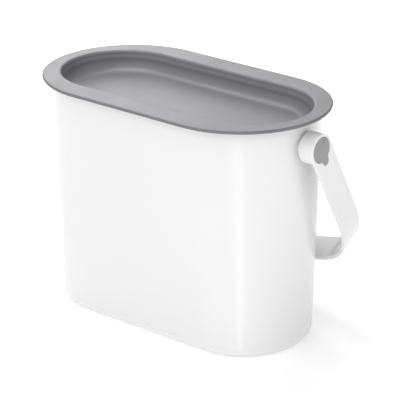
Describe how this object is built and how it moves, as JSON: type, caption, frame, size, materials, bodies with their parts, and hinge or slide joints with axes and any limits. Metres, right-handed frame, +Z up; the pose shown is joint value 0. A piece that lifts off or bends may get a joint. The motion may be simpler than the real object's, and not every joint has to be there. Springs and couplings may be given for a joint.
{
  "type": "compost caddy",
  "caption": "Countertop compost caddy: white stadium-plan bucket, grey lift-off tray lid and a white strap handle on grey keyed pins, resting behind the bucket.",
  "frame": {"origin": "centre of the base, on the surface that it stands on", "axes": "+X along the long side, to the right seen from the front; -Y is the front; +Z is up"},
  "size_m": [0.2844, 0.1644, 0.2075],
  "materials": {
    "white_plastic": "satin",
    "grey_plastic": "matte",
    "bush_plastic": "satin",
    "seal_rubber": "matte",
    "ring_steel": "satin"
  },
  "bodies": {
    "bin": {"bucket": "white_plastic", "pivot_bush_right": "bush_plastic", "pivot_bush_left": "bush_plastic"},
    "lid": {"lid": "grey_plastic", "lid_seal": "seal_rubber"},
    "handle": {"handle": "white_plastic", "pivot_pin_right": "grey_plastic", "pivot_pin_left": "grey_plastic", "retaining_ring_right": "ring_steel", "retaining_ring_left": "ring_steel"}
  },
  "joints": [
    {"name": "lid_lift", "type": "slide", "parent": "bin", "child": "lid", "axis": [0, 0, 1], "range_m": [0, 0.06]},
    {"name": "handle_swing", "type": "hinge", "parent": "bin", "child": "handle", "pos_m": [0, 0, 0.1832], "axis": [1, 0, 0], "range_deg": [0, 300]}
  ]
}
